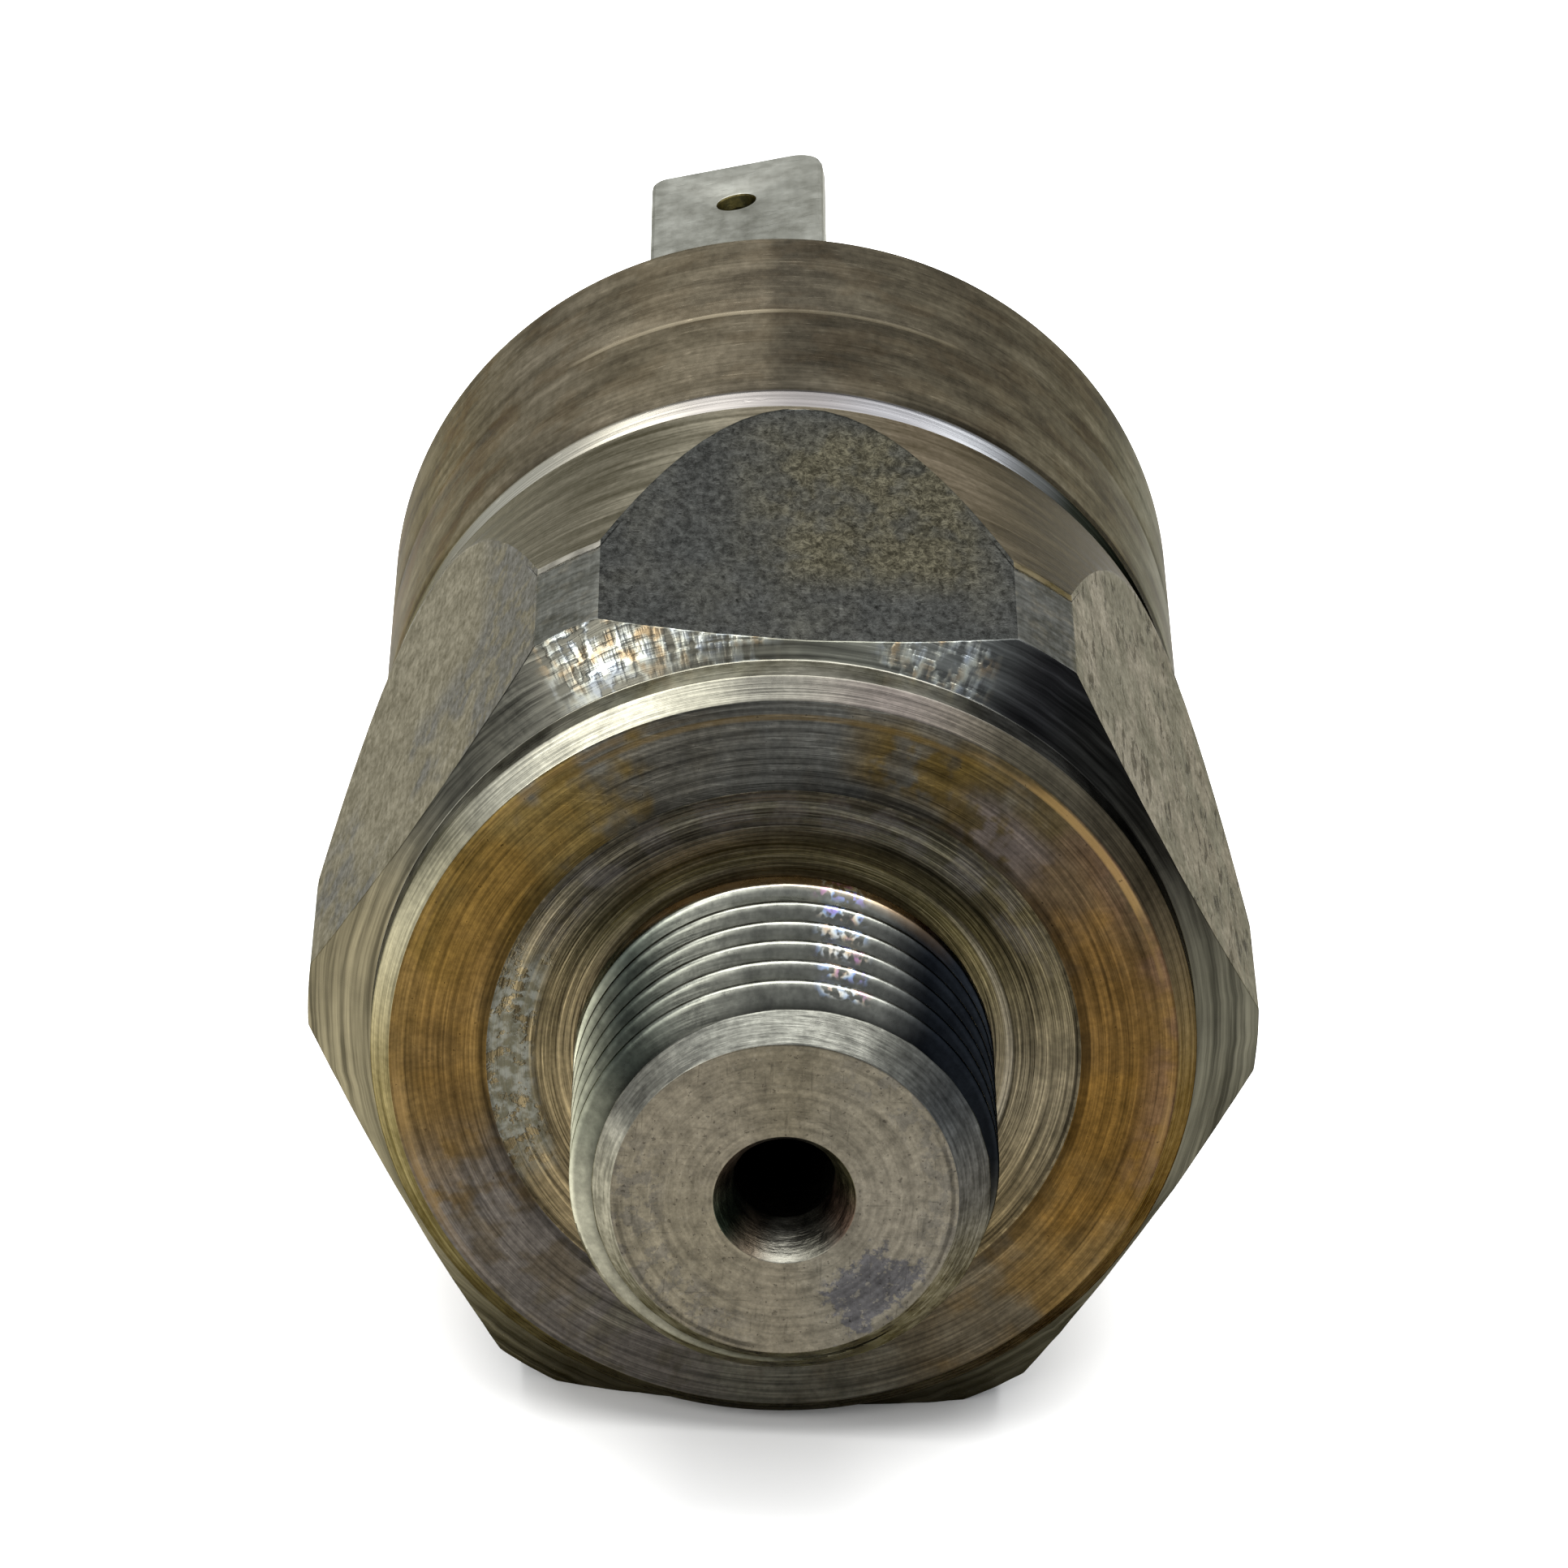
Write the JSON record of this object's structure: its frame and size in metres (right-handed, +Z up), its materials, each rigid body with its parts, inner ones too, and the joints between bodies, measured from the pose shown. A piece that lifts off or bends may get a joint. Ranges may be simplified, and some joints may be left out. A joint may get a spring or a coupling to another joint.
{
  "type": "pressure switch",
  "caption": "Hexagon-bodied pressure switch with a short threaded port at one end and flat spade terminals with an adjusting screw at the other.",
  "frame": {"origin": "on the switch's axis, in the plane of the sealing face behind the port thread", "axes": "-Y out of the threaded port, +Y out of the terminals, +Z up when the switch lies on one flat of its hexagon"},
  "size_m": [0.03, 0.0662, 0.027],
  "materials": {
    "fitting_steel": "turned and zinc plated with a worn yellow passivation",
    "sleeve_steel": "turned and plated, dull",
    "terminal_metal": "tin plated brass, dull",
    "insulator": "glass-filled moulding",
    "washer_steel": "zinc plated",
    "seal_rubber": "satin",
    "inner_steel": "turned",
    "pusher_plastic": "moulded",
    "contact_brass": "bright",
    "contact_silver": "satin",
    "spring_steel": "drawn wire",
    "insert_brass": "turned",
    "screw_steel": "zinc plated"
  },
  "bodies": {
    "housing": {"port_body": "fitting_steel", "housing_sleeve": "sleeve_steel", "terminal_base": "insulator", "crimp_washer": "washer_steel", "housing_o_ring": "seal_rubber", "diaphragm": "seal_rubber", "diaphragm_o_ring": "seal_rubber", "clamp_ring": "inner_steel", "terminal_blade_upper": "terminal_metal", "terminal_blade_lower": "terminal_metal", "fixed_contacts": "contact_silver", "adjuster_insert": "insert_brass"},
    "pusher": {"pressure_piston": "inner_steel", "plunger": "pusher_plastic", "bridge_clip": "spring_steel", "lower_spring_seat": "inner_steel", "contact_spring": "spring_steel", "range_spring": "spring_steel"},
    "bridge": {"contact_bridge": "contact_brass", "moving_contacts": "contact_silver"},
    "adjuster_seat": {"upper_spring_seat": "inner_steel"},
    "adjuster_screw": {"adjusting_screw": "screw_steel"}
  },
  "joints": [
    {"name": "pusher_travel", "type": "slide", "parent": "housing", "child": "pusher", "axis": [0, 1, 0], "range_m": [0, 0.0005], "stiffness_N_per_m": 8000, "springref_m": -0.004, "deforming": ["range_spring", "diaphragm"]},
    {"name": "bridge_overtravel", "type": "slide", "parent": "pusher", "child": "bridge", "axis": [0, 1, 0], "range_m": [-0.0003, 0], "stiffness_N_per_m": 1500, "springref_m": 0.0008, "deforming": ["contact_spring"]},
    {"name": "seat_travel", "type": "slide", "parent": "housing", "child": "adjuster_seat", "axis": [0, 1, 0], "range_m": [-0.0015, 0.0015]},
    {"name": "screw_turn", "type": "hinge", "parent": "adjuster_seat", "child": "adjuster_screw", "pos_m": [0, 0.0407, 0], "axis": [0, 1, 0], "range_deg": [-720, 720]}
  ],
  "couplings": [
    {"joint": "screw_turn", "follows": "seat_travel", "rad_per_m": 8377.5}
  ]
}
